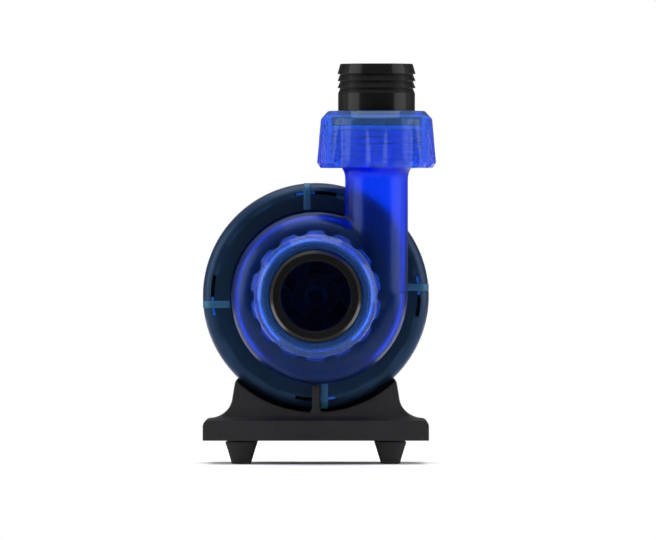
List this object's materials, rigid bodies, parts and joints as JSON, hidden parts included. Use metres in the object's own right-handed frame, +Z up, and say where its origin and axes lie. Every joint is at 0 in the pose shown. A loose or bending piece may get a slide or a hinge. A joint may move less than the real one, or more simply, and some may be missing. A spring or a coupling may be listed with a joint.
{
  "type": "submersible centrifugal pump",
  "caption": "Submersible aquarium return pump: finned round motor on a footed base, bayonet head cover, swivelling translucent volute, union nuts and hose barbs at inlet and outlet.",
  "frame": {"origin": "middle of the object's box, on the plane the rubber feet stand on", "axes": "+Z up along the outlet, -Y out of the inlet (front), +X to the right seen from the front"},
  "size_m": [0.098, 0.1802, 0.1682],
  "materials": {
    "grey_plastic": "moulded, fine matt texture",
    "black_plastic": "moulded, satin",
    "black_gloss_plastic": "moulded, glossy",
    "navy_plastic": "tinted, translucent, glossy",
    "blue_plastic": "tinted, translucent, glossy",
    "rubber": "matt moulded rubber",
    "silicone": "tinted silicone, translucent",
    "steel": "bright",
    "copper": "enamelled copper wire",
    "lamination": "stacked electrical steel",
    "ferrite": "sintered ferrite",
    "ceramic": "ground ceramic",
    "board": "solder mask"
  },
  "bodies": {
    "motor": {"base": "grey_plastic", "foot_front_left": "rubber", "foot_front_right": "rubber", "foot_rear_left": "rubber", "foot_rear_right": "rubber", "swivel_seal": "rubber", "rear_seal": "rubber", "bush_holder_rear": "rubber", "gland_seal": "rubber", "base_screw_front": "steel", "base_screw_rear": "steel", "plate_screw_1": "steel", "plate_screw_2": "steel", "plate_screw_3": "steel", "rear_screw_1": "steel", "rear_screw_2": "steel", "rear_screw_3": "steel", "rear_screw_4": "steel", "motor_housing": "black_plastic", "rear_cover": "black_plastic", "gland_body": "black_plastic", "gland_nut": "black_plastic", "rotor_can": "black_plastic", "bearing_plate": "black_plastic", "bush_front": "ceramic", "bush_rear": "ceramic", "stator_core": "lamination", "coil_1": "copper", "coil_2": "copper", "coil_3": "copper", "coil_4": "copper", "coil_5": "copper", "coil_6": "copper", "winding_board": "board"},
    "head": {"head_cover": "navy_plastic"},
    "volute": {"volute": "blue_plastic"},
    "outlet_tail": {"outlet_barb": "black_gloss_plastic", "outlet_gasket": "silicone"},
    "outlet_nut": {"outlet_nut": "blue_plastic"},
    "inlet_tail": {"inlet_barb": "black_gloss_plastic", "inlet_gasket": "silicone"},
    "inlet_nut": {"inlet_nut": "blue_plastic"},
    "rotor": {"impeller": "black_plastic", "impeller_cap": "black_plastic", "shaft": "ceramic", "rotor_magnet": "ferrite", "rotor_sleeve": "black_plastic", "rotor_sleeve_cap": "black_plastic", "thrust_washer_front": "ceramic", "thrust_washer_rear": "ceramic"}
  },
  "joints": [
    {"name": "head_lock", "type": "hinge", "parent": "motor", "child": "head", "pos_m": [-0.00143, -0.0079, 0.0707], "axis": [0, -1, 0], "range_deg": [0, 14]},
    {"name": "outlet_swivel", "type": "hinge", "parent": "head", "child": "volute", "pos_m": [-0.00143, -0.0079, 0.0707], "axis": [0, -1, 0], "range_deg": [-90, 90]},
    {"name": "outlet_tail_lift", "type": "slide", "parent": "volute", "child": "outlet_tail", "axis": [0, 0, 1], "range_m": [0, 0.0135]},
    {"name": "outlet_nut_turn", "type": "hinge", "parent": "outlet_tail", "child": "outlet_nut", "pos_m": [0.02407, -0.02945, 0.0707], "axis": [0, 0, 1], "range_deg": [0, 1640]},
    {"name": "inlet_tail_lift", "type": "slide", "parent": "volute", "child": "inlet_tail", "axis": [0, -1, 0], "range_m": [0, 0.0135]},
    {"name": "inlet_nut_turn", "type": "hinge", "parent": "inlet_tail", "child": "inlet_nut", "pos_m": [-0.00143, -0.0079, 0.0707], "axis": [0, -1, 0], "range_deg": [0, 1640]},
    {"name": "impeller_spin", "type": "hinge", "parent": "motor", "child": "rotor", "pos_m": [-0.00143, -0.0079, 0.0707], "axis": [0, -1, 0], "continuous": true}
  ],
  "couplings": [
    {"joint": "outlet_nut_turn", "follows": "outlet_tail_lift", "rad_per_m": 2094.4},
    {"joint": "inlet_nut_turn", "follows": "inlet_tail_lift", "rad_per_m": 2094.4}
  ]
}
